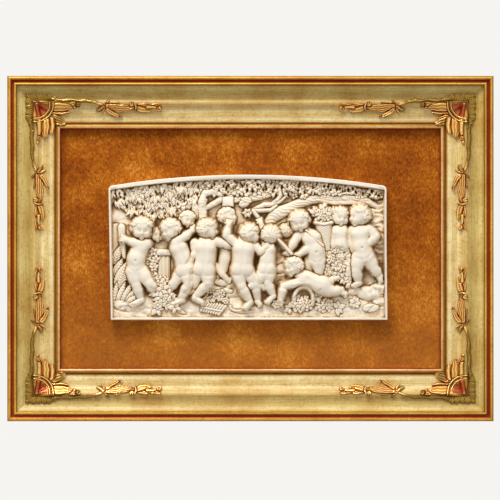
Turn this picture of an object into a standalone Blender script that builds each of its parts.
"""A carved ivory relief of children at play, mounted on velvet in a gilt and painted frame.

The back of the frame lies in the plane y = 0 and the carving looks along -Y. The origin is on
the back of the top rail, at its middle, where the frame hangs. Sizes are in metres.
"""

import math
import random

import bmesh
import bpy
from mathutils import Matrix, Vector

MM = 0.001

# The frame, over its outer edges
frame_width = 347.0 * MM
frame_height = 246.4 * MM
rail_width = 37.4 * MM
back_edge_height = 21.9 * MM

# The mouldings of a rail, from its outer edge towards the opening
outer_bead_radius = 1.6 * MM
outer_hollow_width = 1.5 * MM
outer_hollow_depth = 0.9 * MM
inner_fillet_radius = 1.0 * MM
valley_distance = 15.6 * MM
valley_height = 16.2 * MM
ridge_distance = 19.8 * MM
ridge_height = 18.9 * MM
ridge_radius = 2.0 * MM
ridge_start_angle = 165
ridge_end_angle = 30
lip_radius = 1.75 * MM
lip_height = 13.8 * MM
lip_quirk_width = 0.8 * MM
cove_foot_height = 12.2 * MM
rebate_depth = 9.0 * MM
rebate_width = 6.0 * MM

# The panel in the rebate
board_thickness = 5.4 * MM
velvet_thickness = 1.5 * MM
panel_side_clearance = 1.0 * MM

# The ivory
plaque_width = 200.0 * MM
plaque_height = 104.0 * MM
plaque_arch_rise = 8.2 * MM
plaque_offset_x = -1.8 * MM
plaque_offset_z = 0.9 * MM
slab_thickness = 3.0 * MM
rim_height = 8.6 * MM
relief_height = 9.4 * MM
side_rim_width = 2.0 * MM
top_rim_width = 3.2 * MM
bottom_rim_width = 1.5 * MM
pocket_bedding = 0.6 * MM

# The castings on the frame
spray_start = 60.0 * MM
spray_length = 49.0 * MM
spray_girth = 2.5 * MM
casting_girth = 2.7 * MM
casting_reach = 50.0 * MM
casting_inner_corner = 35.6 * MM

touching_gap = 0.3 * MM
casting_gap = 0.4 * MM

# The carving is set out on squares: 200 wide, 104 high and 15 deep above the ground plane.
SQUARES_WIDE = 200.0
SQUARES_HIGH = 104.0
SQUARES_DEEP = 15.0

relief_voxel = 0.85 * MM
relief_faces = 4900
casting_voxel = 0.6 * MM
casting_faces = 210
spray_faces = 125

# Each child: joints as (across, up, forward) in squares, the trunk with a girth at each place.
CHILDREN = {
    "boy_at_post": {
        "head": (-76.5, 66.0, 8.5),
        "head_size": 7.6,
        "trunk": [
            (-76.3, 56.0, 6.5, 4.4), (-77.8, 51.5, 6.5, 6.0),
            (-80.6, 43.0, 7.0, 6.4), (-80.2, 36.5, 6.5, 6.2),
        ],
        "arms": [[(-72.8, 55.4, 8.0), (-81.0, 55.2, 11.5), (-89.5, 58.2, 11.5)]],
        "legs": [
            [(-83.0, 35.5, 6.5), (-80.0, 24.5, 8.0), (-77.3, 15.2, 7.0), (-83.5, 10.4, 9.0)],
            [(-76.5, 35.0, 7.5), (-70.0, 25.0, 10.5), (-65.8, 19.5, 8.5), (-62.5, 18.0, 9.5)],
        ],
    },
    "boy_embracing": {
        "head": (-54.8, 65.3, 9.0),
        "head_size": 7.6,
        "trunk": [
            (-52.0, 57.0, 7.5, 4.6), (-50.3, 51.5, 7.5, 6.6),
            (-48.0, 43.0, 7.5, 6.2), (-46.2, 36.5, 8.0, 6.4),
        ],
        "arms": [[(-52.0, 55.8, 10.0), (-46.0, 59.8, 12.5), (-40.0, 64.6, 11.5)]],
        "legs": [
            [(-45.5, 35.0, 9.0), (-42.0, 26.5, 11.0), (-47.5, 15.2, 8.0), (-53.0, 11.2, 9.5)],
            [(-49.5, 34.0, 6.0), (-52.5, 28.0, 7.5), (-57.0, 21.0, 5.0), (-60.0, 18.5, 5.0)],
        ],
    },
    "boy_turned_away": {
        "head": (-29.6, 65.3, 9.5),
        "head_size": 7.6,
        "trunk": [
            (-30.2, 57.0, 8.0, 4.8), (-30.7, 51.5, 8.5, 7.4),
            (-31.0, 43.5, 8.5, 6.6), (-31.6, 37.0, 9.0, 6.8),
        ],
        "arms": [
            [(-38.5, 55.2, 9.0), (-37.0, 47.5, 10.5), (-39.2, 44.8, 11.0)],
            [(-22.5, 55.6, 9.0), (-15.2, 51.0, 9.5), (-19.5, 43.0, 8.0)],
        ],
        "legs": [
            [(-28.8, 35.0, 9.5), (-28.0, 26.0, 11.0), (-37.6, 16.8, 9.0), (-33.0, 12.2, 10.0)],
            [(-35.0, 35.0, 8.0), (-37.2, 27.5, 8.0), (-39.0, 21.0, 5.5), (-43.0, 18.0, 5.0)],
        ],
    },
    "boy_in_middle": {
        "head": (0.3, 63.4, 10.5),
        "head_size": 7.2,
        "trunk": [
            (-2.2, 56.5, 9.0, 5.0), (-3.2, 50.5, 9.5, 7.7),
            (-3.2, 43.0, 9.5, 6.9), (-3.4, 37.0, 10.0, 7.2),
        ],
        "arms": [
            [(-10.0, 56.0, 10.0), (-15.3, 62.5, 11.5), (-14.0, 70.6, 11.0)],
            [(4.0, 54.4, 9.5), (8.6, 48.6, 11.0), (12.6, 50.6, 11.5)],
        ],
        "legs": [
            [(-7.0, 34.8, 10.0), (-4.5, 24.5, 11.5), (1.3, 13.6, 9.5), (-1.6, 8.6, 11.0)],
            [(0.8, 34.5, 9.5), (5.6, 26.0, 9.5), (7.0, 13.2, 6.5), (8.6, 10.6, 8.0)],
        ],
    },
    "boy_climbing": {
        "head": (16.2, 62.0, 8.5),
        "head_size": 7.3,
        "trunk": [
            (14.6, 55.0, 7.5, 4.2), (13.8, 50.0, 8.0, 5.1),
            (13.5, 43.5, 8.0, 5.0), (13.3, 37.5, 8.5, 5.6),
        ],
        "arms": [[(10.5, 60.5, 6.0), (10.6, 66.0, 7.0), (9.2, 71.0, 8.0)]],
        "legs": [
            [(14.6, 36.0, 8.5), (13.8, 27.0, 9.5), (17.8, 18.4, 8.5), (14.6, 13.0, 9.5)],
            [(11.0, 35.0, 9.0), (3.4, 25.0, 11.0), (13.2, 24.3, 8.5), (18.8, 21.8, 7.5)],
        ],
    },
    "boy_with_basket": {
        "head": (36.6, 70.6, 9.5),
        "head_size": 7.8,
        "trunk": [
            (41.0, 62.5, 6.5, 4.4), (46.0, 57.5, 7.0, 6.3),
            (49.3, 49.5, 7.5, 5.9), (49.8, 43.5, 7.5, 5.7),
        ],
        "arms": [
            [(36.4, 62.0, 7.0), (33.4, 56.5, 9.5), (30.3, 50.6, 10.5)],
            [(43.6, 61.0, 9.5), (43.9, 50.6, 10.5), (38.6, 46.6, 11.5)],
        ],
        "legs": [
            [(49.6, 42.5, 8.0), (50.0, 35.0, 9.0), (49.6, 27.5, 7.0), (49.0, 25.0, 8.0)],
            [(45.5, 42.5, 6.0), (43.4, 37.0, 5.5), (43.0, 31.5, 5.0), (43.0, 29.0, 5.5)],
        ],
    },
    "boy_crawling": {
        "head": (34.3, 38.7, 11.0),
        "head_size": 7.2,
        "trunk": [
            (38.0, 31.5, 10.0, 4.2), (42.0, 28.2, 9.5, 5.2),
            (47.0, 26.2, 9.5, 5.0), (51.6, 23.8, 9.5, 5.8),
        ],
        "arms": [[(39.0, 27.6, 11.5), (25.6, 23.4, 12.0), (23.6, 14.6, 11.5)]],
        "legs": [
            [(52.8, 22.2, 11.0), (60.5, 20.6, 11.0), (66.8, 22.2, 10.0), (70.0, 19.6, 10.0)],
            [(53.0, 24.5, 8.0), (55.5, 26.0, 8.0), (58.0, 28.6, 8.5), (63.2, 29.6, 8.0)],
        ],
    },
    "boy_behind_garland": {
        "head": (66.2, 74.6, 7.5),
        "head_size": 7.0,
        "trunk": [
            (66.6, 67.0, 6.0, 4.0), (67.0, 61.5, 6.5, 5.7),
            (67.3, 53.0, 6.5, 5.7), (67.6, 46.5, 6.0, 5.6),
        ],
        "arms": [[(62.7, 64.0, 6.5), (61.8, 56.5, 6.5), (63.2, 50.5, 7.5)]],
        "legs": [[(71.0, 45.5, 6.5), (72.3, 37.0, 7.0), (72.6, 28.6, 6.5), (72.2, 25.0, 8.5)]],
    },
    "boy_with_hand_on_hip": {
        "head": (79.7, 76.0, 9.0),
        "head_size": 7.8,
        "trunk": [
            (80.8, 67.0, 7.5, 4.6), (80.6, 61.5, 8.0, 6.8),
            (82.0, 53.0, 8.0, 6.1), (83.5, 46.0, 8.5, 6.9),
        ],
        "arms": [
            [(85.8, 65.2, 9.5), (90.8, 60.6, 10.5), (85.4, 54.8, 11.5)],
            [(76.6, 65.0, 6.0), (75.6, 56.5, 6.0), (77.0, 49.5, 6.5)],
        ],
        "legs": [
            [(79.8, 44.5, 9.0), (78.5, 35.5, 9.5), (79.0, 28.0, 8.0), (77.0, 25.2, 10.0)],
            [(87.0, 43.5, 8.0), (91.6, 36.2, 8.0), (95.0, 31.4, 6.5), (95.8, 28.0, 6.5)],
        ],
    },
}

# Heads of children further back: (across, up, forward), size
HEADS_BEHIND = [
    ((-65.5, 61.0, 2.5), 4.8),
    ((-43.3, 72.6, 5.5), 6.0),
    ((-15.0, 75.6, 4.0), 6.6),
    ((20.6, 75.2, 3.0), 6.0),
    ((27.6, 62.4, 3.5), 5.4),
]

# Girths of a limb at its joints, as shares of the size of the child's head
ARM_GIRTHS = (0.38, 0.34, 0.25)
LEG_GIRTHS = (0.60, 0.46, 0.30, 0.24)

# Round masses that the carver left for fruit and leaves: (across, up, forward), size
FRUIT_AND_LEAF_MASSES = {
    "garland_by_pillar": [(-71.5, 47, 4), (-72, 41, 4), (-71, 35, 4), (-66, 32, 4)],
    "wreath_on_ground": [(-66, 20, 5), (-60, 17, 5), (-54, 17, 5), (-62, 11, 6), (-66, 9, 5)],
    "fruit_by_pipes": [(-26, 16, 4), (-20, 14, 5), (-15, 14, 4)],
    "grapes_on_ground": [
        (33, 8, 5), (38, 11, 6), (43, 9, 6), (49, 8, 5), (55, 12, 6), (60, 9, 5), (65, 8, 4),
    ],
    "grapes_in_basket": [(46, 73, 7), (50, 76, 8), (55, 75, 8), (51, 71, 9)],
    "garland_in_front": [(61, 46, 7), (66, 48, 9), (63, 40, 9), (68, 41, 10), (66, 34, 9), (60, 34, 7)],
}
MASS_SIZE = 4.2

# The bough that carries the leaves, from the trunk on the left to the right-hand side
BOUGH = [
    (-37, 74), (-35, 86), (-24, 88), (-8, 89), (10, 87),
    (30, 84), (46, 86), (62, 86), (80, 86), (93, 82),
]
BOUGH_GIRTH = 2.8

# The arch of the top, the lumps of the leaf canopy under it, and how far the canopy hangs down
ARCH_RISE = plaque_arch_rise / plaque_height * SQUARES_HIGH
LEAF_LUMP_SIZE = 4.4
LEAF_LUMP_SPACING = 5.5
CANOPY_LOWEST_AT_LEFT = 82
CANOPY_LOWEST_OVER_BOYS = 76
CANOPY_LOWEST = 90

# Boxes as their two opposite corners: the post at the left edge, the pillar and its cap
BOXES = {
    "post": ((-97, 46, 0), (-88.5, 66, 6)),
    "pillar": ((-67, 20, 0), (-56, 47, 5)),
    "pillar_cap": ((-69, 46.5, 0), (-54, 51, 7)),
}

# The basket carried on the back and the one lying on the ground, with their girths
BACK_BASKET = [(53.5, 56, 5), (54, 64, 6), (54, 70, 6.5)]
BACK_BASKET_GIRTHS = [4.0, 5.0, 5.8]
FALLEN_BASKET = [(44, 17, 4), (39, 15, 5)]
FALLEN_BASKET_GIRTHS = [5.0, 6.2]


def remove_default_objects():
    for thing in list(bpy.data.objects):
        bpy.data.objects.remove(thing)


def make_collection(name):
    collection = bpy.data.collections.new(name)
    bpy.context.scene.collection.children.link(collection)
    return collection


def make_material(name, colour, roughness, metallic=0.0):
    material = bpy.data.materials.new(name)
    material.use_nodes = True
    shader = material.node_tree.nodes["Principled BSDF"]
    shader.inputs["Base Color"].default_value = (*colour, 1.0)
    shader.inputs["Roughness"].default_value = roughness
    shader.inputs["Metallic"].default_value = metallic
    return material


def add_object(name, mesh, collection, material=None):
    thing = bpy.data.objects.new(name, mesh)
    collection.objects.link(thing)
    if material is not None:
        mesh.materials.clear()
        mesh.materials.append(material)
    return thing


def mesh_from(bm, name):
    mesh = bpy.data.meshes.new(name)
    bm.to_mesh(mesh)
    bm.free()
    return mesh


def finished_mesh(thing):
    """The mesh of an object with its modifiers worked out."""
    bpy.context.view_layer.update()
    graph = bpy.context.evaluated_depsgraph_get()
    return bpy.data.meshes.new_from_object(thing.evaluated_get(graph))


def boolean(thing, operation, other):
    modifier = thing.modifiers.new(operation.title(), "BOOLEAN")
    modifier.operation = operation
    modifier.object = other


def ellipse_points(centre, radii, start, end, steps):
    """Points on an ellipse between two angles in degrees."""
    angles = [math.radians(start + (end - start) * i / steps) for i in range(steps + 1)]
    return [(centre[0] + radii[0] * math.cos(a), centre[1] + radii[1] * math.sin(a)) for a in angles]


def moulding_line():
    """The face of a rail, from its outer edge to the opening, as (distance inwards, height)."""
    bead = ellipse_points(
        (outer_bead_radius, back_edge_height), (outer_bead_radius,) * 2, 180, 0, 8
    )
    hollow_start = 2 * outer_bead_radius
    hollow = ellipse_points(
        (hollow_start + outer_hollow_width / 2, back_edge_height),
        (outer_hollow_width / 2, outer_hollow_depth), 180, 360, 4,
    )[1:-1]
    fillet_start = hollow_start + outer_hollow_width
    fillet = ellipse_points(
        (fillet_start + inner_fillet_radius, back_edge_height),
        (inner_fillet_radius,) * 2, 180, 0, 6,
    )
    cove_start = fillet_start + 2 * inner_fillet_radius
    outer_cove = ellipse_points(
        (valley_distance, back_edge_height),
        (valley_distance - cove_start, back_edge_height - valley_height), 180, 270, 7,
    )[1:]
    ridge = ellipse_points(
        (ridge_distance, ridge_height - ridge_radius), (ridge_radius,) * 2,
        ridge_start_angle, ridge_end_angle, 5,
    )
    crest_end, crest_height = ridge[-1]
    cove_end = rail_width - 2 * lip_radius - lip_quirk_width
    inner_cove = ellipse_points(
        (cove_end, crest_height), (cove_end - crest_end, crest_height - cove_foot_height), 180, 270, 7
    )[1:]
    lip = ellipse_points(
        (rail_width - lip_radius, lip_height - lip_radius), (lip_radius,) * 2, 180, 0, 8
    )
    return bead + hollow + fillet + outer_cove + ridge + inner_cove + lip


def rail_section():
    """The whole section of a rail: its face, the rebate for the panel and the flat back."""
    return moulding_line() + [
        (rail_width, rebate_depth),
        (rail_width - rebate_width, rebate_depth),
        (rail_width - rebate_width, 0.0),
        (0.0, 0.0),
    ]


frame_top = (rail_width - rebate_width) / 2
frame_centre_z = frame_top - frame_height / 2


def make_rail(name, length, turn, centre_distance, collection, material):
    """A rail along X, mitred at both ends, then turned about the middle of the frame."""
    mitre = touching_gap / 2 * math.sqrt(2)
    bm = bmesh.new()
    corners = [bm.verts.new((0.0, -height, inwards)) for inwards, height in rail_section()]
    section = bm.faces.new(corners)
    moved = bmesh.ops.extrude_face_region(bm, geom=[section])["geom"]
    far_end = {v for v in moved if isinstance(v, bmesh.types.BMVert)}
    for corner in bm.verts:
        end = length / 2 - corner.co.z - mitre
        corner.co.x = end if corner in far_end else -end
        corner.co.z = centre_distance - corner.co.z
    bmesh.ops.recalc_face_normals(bm, faces=bm.faces)
    turned = Matrix.Translation((0, 0, frame_centre_z)) @ Matrix.Rotation(turn, 4, "Y")
    bm.transform(turned)
    rail = add_object(name, mesh_from(bm, name), collection, material)
    rail.data.set_sharp_from_angle(angle=math.radians(35))
    return rail


def make_frame(collection, material):
    half_height = frame_height / 2
    half_width = frame_width / 2
    make_rail("rail_top", frame_width, 0.0, half_height, collection, material)
    make_rail("rail_bottom", frame_width, math.pi, half_height, collection, material)
    make_rail("rail_left", frame_height, -math.pi / 2, half_width, collection, material)
    make_rail("rail_right", frame_height, math.pi / 2, half_width, collection, material)


def make_slab(name, width, height, front, thickness, collection, material):
    """A flat rectangular piece centred on the opening, with its front at a height above the wall."""
    bm = bmesh.new()
    bmesh.ops.create_cube(bm, size=1.0)
    middle = Vector((0, -(front - thickness / 2), frame_centre_z))
    bm.transform(Matrix.Translation(middle) @ Matrix.Diagonal((width, thickness, height, 1)))
    return add_object(name, mesh_from(bm, name), collection, material)


velvet_front = rebate_depth - touching_gap
board_front = velvet_front - velvet_thickness - touching_gap
plaque_back = velvet_front + touching_gap


def make_panel(collection, velvet, wood):
    margin = rebate_width - panel_side_clearance
    width = frame_width - 2 * rail_width + 2 * margin
    height = frame_height - 2 * rail_width + 2 * margin
    make_slab("velvet_cover", width, height, velvet_front, velvet_thickness, collection, velvet)
    make_slab("backing_board", width, height, board_front, board_thickness, collection, wood)


plaque_bottom = frame_centre_z + plaque_offset_z - plaque_height / 2


def plaque_point(across, up, forward):
    """A place in the carving, from squares to metres. Forward is 0 on the ground plane."""
    return Vector((
        plaque_offset_x + across / SQUARES_WIDE * plaque_width,
        -(plaque_back + slab_thickness + forward / SQUARES_DEEP * relief_height),
        plaque_bottom + up / SQUARES_HIGH * plaque_height,
    ))


def arch_height(across, width, side_height, rise):
    """The height of the arched top at a place across it."""
    radius = (width * width / 4 + rise * rise) / (2 * rise)
    return side_height + math.sqrt(radius * radius - across * across) - (radius - rise)


def arched_outline(side_inset, bottom_inset, top_inset, steps=24):
    """The outline of the plaque, inset on each side, as (across, up) in metres."""
    half = plaque_width / 2
    side_height = plaque_height - plaque_arch_rise
    right = half - side_inset
    spread = [right - 2 * right * i / steps for i in range(steps + 1)]
    top = [(x, arch_height(x, plaque_width, side_height, plaque_arch_rise) - top_inset) for x in spread]
    return [(-right, bottom_inset), (right, bottom_inset)] + top


def prism(outline, back, front):
    """A solid with that outline, between two heights above the wall."""
    bm = bmesh.new()
    corners = [bm.verts.new((plaque_offset_x + x, -back, plaque_bottom + z)) for x, z in outline]
    face = bm.faces.new(corners)
    moved = bmesh.ops.extrude_face_region(bm, geom=[face])["geom"]
    for corner in moved:
        if isinstance(corner, bmesh.types.BMVert):
            corner.co.y = -front
    bmesh.ops.recalc_face_normals(bm, faces=bm.faces)
    return bm


def add_ball(bm, place, girth, stretch=(1, 1, 1)):
    matrix = Matrix.Translation(place) @ Matrix.Diagonal((*(girth * s for s in stretch), 1))
    bmesh.ops.create_icosphere(bm, subdivisions=2, radius=1.0, matrix=matrix)


def add_limb(bm, start, end, start_girth, end_girth):
    """A tapering limb with round ends."""
    start, end = Vector(start), Vector(end)
    along = end - start
    add_ball(bm, start, start_girth)
    add_ball(bm, end, end_girth)
    matrix = Matrix.Translation((start + end) / 2) @ along.to_track_quat("Z", "Y").to_matrix().to_4x4()
    bmesh.ops.create_cone(
        bm, cap_ends=True, segments=12, radius1=start_girth, radius2=end_girth,
        depth=along.length, matrix=matrix,
    )


def add_chain(bm, joints, girths):
    for start, end, start_girth, end_girth in zip(joints, joints[1:], girths, girths[1:]):
        add_limb(bm, start, end, start_girth, end_girth)


def add_child(bm, child):
    """A child carved in the round, half sunk in the ground. All in squares."""
    size = child["head_size"]
    add_ball(bm, child["head"], size, (0.95, 1.05, 1.0))
    trunk = child["trunk"]
    add_chain(bm, [t[:3] for t in trunk], [t[3] for t in trunk])
    neck = trunk[0]
    add_limb(bm, child["head"], neck[:3], size * 0.45, size * 0.42)
    for arm in child["arms"]:
        add_limb(bm, trunk[1][:3], arm[0], size * 0.5, size * ARM_GIRTHS[0])
        add_chain(bm, arm, [size * g for g in ARM_GIRTHS])
        add_ball(bm, arm[-1], size * 0.30)
    for leg in child["legs"]:
        add_chain(bm, leg, [size * g for g in LEG_GIRTHS])


def add_leaves_overhead(bm):
    """The canopy as the lumps that its leaves stand on."""
    chance = random.Random(4)
    for across in range(-94, 96, 6):
        up = CANOPY_LOWEST
        if across < -84:
            up = CANOPY_LOWEST_AT_LEFT
        elif across < -46:
            up = CANOPY_LOWEST_OVER_BOYS
        top = arch_height(across, SQUARES_WIDE, SQUARES_HIGH - ARCH_RISE, ARCH_RISE) - 4
        while up < top - 1:
            place = (across + chance.uniform(-2, 2), up, chance.uniform(1.5, 4.5))
            add_ball(bm, place, LEAF_LUMP_SIZE)
            up += LEAF_LUMP_SPACING
    bough = [(x, z, 3.5) for x, z in BOUGH]
    add_chain(bm, bough, [BOUGH_GIRTH] * len(bough))


def add_ground(bm):
    """The strip of ground, and the mound on the right that two of the children stand on."""
    for across in range(-96, 97, 8):
        add_ball(bm, (across, 3.0, 2.0), 6.0, (1.2, 0.9, 1.0))
    for across, up in ((74, 15), (84, 17), (93, 17), (70, 8), (82, 9), (93, 9)):
        add_ball(bm, (across, up, 2.5), 7.0, (1.2, 1.1, 0.8))


def add_pillar_and_post(bm):
    for low, high in BOXES.values():
        middle = (Vector(low) + Vector(high)) / 2
        size = Vector(high) - Vector(low)
        matrix = Matrix.Translation(middle) @ Matrix.Diagonal((*size, 1))
        bmesh.ops.create_cube(bm, size=1.0, matrix=matrix)


def add_baskets(bm):
    add_chain(bm, BACK_BASKET, BACK_BASKET_GIRTHS)
    add_chain(bm, FALLEN_BASKET, FALLEN_BASKET_GIRTHS)


def make_relief_guide(collection):
    """Everything carved above the ground plane, as one closed and simplified body."""
    bm = bmesh.new()
    for child in CHILDREN.values():
        add_child(bm, child)
    for place, size in HEADS_BEHIND:
        add_ball(bm, place, size)
    for places in FRUIT_AND_LEAF_MASSES.values():
        for place in places:
            add_ball(bm, place, MASS_SIZE)
    add_leaves_overhead(bm)
    add_ground(bm)
    add_pillar_and_post(bm)
    add_baskets(bm)
    for corner in bm.verts:
        corner.co = plaque_point(*corner.co)
    bmesh.ops.recalc_face_normals(bm, faces=bm.faces)
    field = prism(
        arched_outline(side_rim_width / 2, bottom_rim_width / 2, top_rim_width / 2),
        plaque_back + slab_thickness / 2, plaque_back + slab_thickness,
    )
    field_mesh = mesh_from(field, "relief_field")
    bm.from_mesh(field_mesh)
    relief = add_object("relief_guide", mesh_from(bm, "relief_guide"), collection)
    remesh = relief.modifiers.new("Remesh", "REMESH")
    remesh.mode = "VOXEL"
    remesh.voxel_size = relief_voxel
    full = finished_mesh(relief)
    decimate = relief.modifiers.new("Decimate", "DECIMATE")
    decimate.ratio = relief_faces / (2 * len(full.polygons))
    simple = finished_mesh(relief)
    relief.modifiers.clear()
    relief.data = simple
    return relief


def make_plaque(collection, cutters, ivory):
    """The slab with its pocket and rim, joined with the carving and trimmed to its outline."""
    outline = arched_outline(0.0, 0.0, 0.0)
    inner = arched_outline(side_rim_width, bottom_rim_width, top_rim_width)
    slab_front = plaque_back + slab_thickness
    carving_front = slab_front + 2 * relief_height
    slab = mesh_from(prism(outline, plaque_back, plaque_back + rim_height), "ivory_plaque")
    pocket = mesh_from(prism(inner, slab_front - pocket_bedding, carving_front), "pocket_cutter")
    trim = mesh_from(
        prism(arched_outline(side_rim_width / 4, bottom_rim_width / 4, top_rim_width / 4),
              plaque_back + slab_thickness / 4, carving_front),
        "trim_cutter",
    )
    cutter = add_object("pocket_cutter", pocket, cutters)
    trimmer = add_object("trim_cutter", trim, cutters)
    relief = make_relief_guide(cutters)
    boolean(relief, "INTERSECT", trimmer)
    plaque = add_object("ivory_plaque", slab, collection, ivory)
    boolean(plaque, "DIFFERENCE", cutter)
    boolean(plaque, "UNION", relief)
    return plaque


def surface_height(inwards):
    """How high the face of a rail is at a distance from its outer edge."""
    line = moulding_line()
    for (near, low), (far, high) in zip(line, line[1:]):
        if near <= inwards <= far and far > near:
            return low + (high - low) * (inwards - near) / (far - near)
    return lip_height


def on_moulding(along, inwards, above):
    """A place on a rail: along from the frame's corner, inwards from its outer edge."""
    return Vector((along, -(surface_height(inwards) + above), -inwards))


def lay_path(bm, places, girths, above=0.0):
    """A strand that lies on the moulding through places given as (along, inwards)."""
    on_it = [on_moulding(along, inwards, above) for along, inwards in places]
    add_chain(bm, on_it, girths)


def spray_shapes(bm):
    """A leafy spray below the ridge of a rail: a bulb, two long leaves, a drooping curl and a knob."""
    middle = ridge_distance + spray_girth * 0.6
    strands = [
        (((0.0, 0.9), (0.1, 0.0), (0.16, -0.5)), (0.95, 0.85, 0.6)),
        (((0.16, -0.5), (0.3, 0.1), (0.45, 0.5), (0.58, -0.3)), (0.7, 1.25, 1.15, 0.6)),
        (((0.58, -0.3), (0.7, 0.1), (0.84, 0.1), (0.96, -0.1), (1.0, 0.8)), (0.6, 1.0, 0.95, 0.8, 0.6)),
        (((0.2, 0.2), (0.28, 1.3), (0.38, 1.9)), (0.8, 0.75, 0.6)),
    ]
    for places, girths in strands:
        path = [(spray_start + share * spray_length, middle + side * spray_girth) for share, side in places]
        lay_path(bm, path, [spray_girth * g for g in girths])


def corner_shapes(bm):
    """Half of a corner casting, from the mitre along one rail: a shell's band between leaf lobes."""
    girth = casting_girth
    shell_middle = ridge_distance
    shell_radius = 4.4 * girth
    add_ball(bm, on_moulding(valley_distance, valley_distance, 0.0), girth * 0.9)
    reach = casting_reach - shell_middle
    outer_edge = [(valley_distance, valley_distance), (shell_middle + girth, valley_distance + girth * 0.2),
                  (shell_middle + shell_radius * 1.15, valley_distance + girth * 0.6)]
    lay_path(bm, outer_edge, [girth * 0.7, girth * 0.85, girth * 0.6])
    band = ellipse_points((shell_middle, shell_middle), (shell_radius,) * 2, -15, 45, 4)
    lay_path(bm, band, [girth * 0.6] * len(band), girth * 0.5)
    bowl = ellipse_points((shell_middle, shell_middle), (shell_radius * 0.5,) * 2, 0, 45, 2)
    lay_path(bm, bowl, [girth * 0.75] * len(bowl))
    along_rail = [(shell_middle + reach * share, ridge_distance + girth * side)
                  for share, side in ((0.36, 1.3), (0.62, 1.5), (0.84, 1.0))]
    lay_path(bm, along_rail, [girth * 1.3, girth * 1.5, girth * 0.9])
    add_ball(bm, on_moulding(casting_reach - girth, ridge_distance + girth * 0.4, 0.0), girth * 0.85)
    tip = casting_inner_corner
    to_opening = [(shell_middle + shell_radius * 0.8, shell_middle + shell_radius * 0.75),
                  (tip * 0.97, tip * 0.88), (tip * 1.03, tip * 0.95)]
    lay_path(bm, to_opening, [girth * 1.2, girth * 1.25, girth * 0.7])


def casting_mesh(name, shapes, mirrored, faces, cutters):
    """The shapes as one body in the corner's own frame, cut to sit on the moulding."""
    bm = bmesh.new()
    shapes(bm)
    if mirrored:
        across_mitre = Matrix(((0, 0, -1, 0), (0, 1, 0, 0), (-1, 0, 0, 0), (0, 0, 0, 1)))
        half = bm.copy()
        half.transform(across_mitre)
        half_mesh = mesh_from(half, "half")
        bm.from_mesh(half_mesh)
    body = add_object(name + "_guide", mesh_from(bm, name), cutters)
    remesh = body.modifiers.new("Remesh", "REMESH")
    remesh.mode = "VOXEL"
    remesh.voxel_size = casting_voxel
    full = finished_mesh(body)
    decimate = body.modifiers.new("Decimate", "DECIMATE")
    decimate.ratio = faces / (2 * len(full.polygons))
    boolean(body, "DIFFERENCE", moulding_cutter(name + "_seat_cutter", cutters))
    mesh = finished_mesh(body)
    bpy.data.objects.remove(body)
    return largest_body(mesh)


def moulding_cutter(name, cutters):
    """Both rails of the top left corner as one solid, raised by the gap that castings keep."""
    reach = spray_start + spray_length + rail_width
    section = [(s, h + casting_gap) for s, h in moulding_line()]
    section += [(rail_width, -rebate_depth), (0, -rebate_depth)]
    bm = bmesh.new()
    rings = []
    for place in (lambda s: (reach, -s), lambda s: (s, -s), lambda s: (s, -reach)):
        rings.append([bm.verts.new((place(s)[0], -h, place(s)[1])) for s, h in section])
    for ring, following in zip(rings, rings[1:]):
        for i in range(len(section)):
            j = (i + 1) % len(section)
            bm.faces.new((ring[i], ring[j], following[j], following[i]))
    bm.faces.new(rings[0])
    bm.faces.new(rings[-1])
    bmesh.ops.recalc_face_normals(bm, faces=bm.faces)
    return add_object(name, mesh_from(bm, name), cutters)


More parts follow.
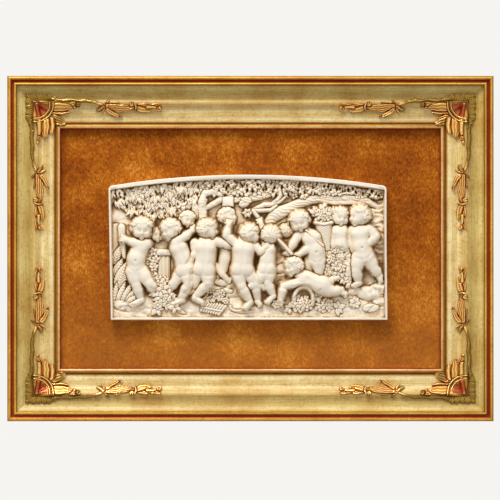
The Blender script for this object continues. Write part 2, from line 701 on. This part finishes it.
def largest_body(mesh):
    """Drops the crumbs that a cut leaves beside the main body."""
    bm = bmesh.new()
    bm.from_mesh(mesh)
    unseen = set(bm.verts)
    bodies = []
    while unseen:
        reached = {unseen.pop()}
        edge_of_search = list(reached)
        while edge_of_search:
            vertex = edge_of_search.pop()
            for edge in vertex.link_edges:
                other = edge.other_vert(vertex)
                if other in unseen:
                    unseen.discard(other)
                    reached.add(other)
                    edge_of_search.append(other)
        bodies.append(reached)
    main = max(bodies, key=len)
    bmesh.ops.delete(bm, geom=[v for v in bm.verts if v not in main], context="VERTS")
    bm.to_mesh(mesh)
    bm.free()
    return mesh


def place_casting(name, mesh, mirror_x, mirror_z, swapped, collection, material):
    """A copy at one corner. Swapped turns a spray from the flat rail to the upright one."""
    own = mesh.copy()
    matrix = Matrix.Identity(4)
    if swapped:
        matrix = Matrix(((0, 0, -1, 0), (0, 1, 0, 0), (-1, 0, 0, 0), (0, 0, 0, 1)))
    corner = Matrix.Translation((-frame_width / 2, 0, frame_height / 2))
    mirror = Matrix.Diagonal((-1 if mirror_x else 1, 1, -1 if mirror_z else 1, 1))
    own.transform(Matrix.Translation((0, 0, frame_centre_z)) @ mirror @ corner @ matrix)
    if (mirror_x + mirror_z + swapped) % 2:
        own.flip_normals()
    return add_object(name, own, collection, material)


def make_castings(collection, cutters, gilt):
    corner = casting_mesh("corner", corner_shapes, True, casting_faces, cutters)
    spray = casting_mesh("spray", spray_shapes, False, spray_faces, cutters)
    for side, mirror_x in (("left", False), ("right", True)):
        for level, mirror_z in (("top", False), ("bottom", True)):
            for name, mesh, swapped in (
                (f"corner_casting_{level}_{side}", corner, False),
                (f"leaf_spray_{level}_{side}", spray, False),
                (f"leaf_spray_{side}_{level}", spray, True),
            ):
                place_casting(name, mesh, mirror_x, mirror_z, swapped, collection, gilt)


def main():
    remove_default_objects()
    parts = make_collection("ivory relief plaque")
    cutters = make_collection("cutters")
    ivory = make_material("ivory", (0.86, 0.78, 0.62), 0.4)
    velvet = make_material("rust_velvet", (0.40, 0.14, 0.02), 0.9)
    painted = make_material("gilt_and_painted_wood", (0.72, 0.60, 0.34), 0.5)
    gilt = make_material("gilt_casting", (0.62, 0.40, 0.12), 0.4, 0.8)
    wood = make_material("bare_wood", (0.33, 0.22, 0.12), 0.7)
    make_frame(parts, painted)
    make_panel(parts, velvet, wood)
    make_plaque(parts, cutters, ivory)
    make_castings(parts, cutters, gilt)
    for cutter in cutters.objects:
        cutter.hide_render = True
        cutter.display_type = "WIRE"


main()
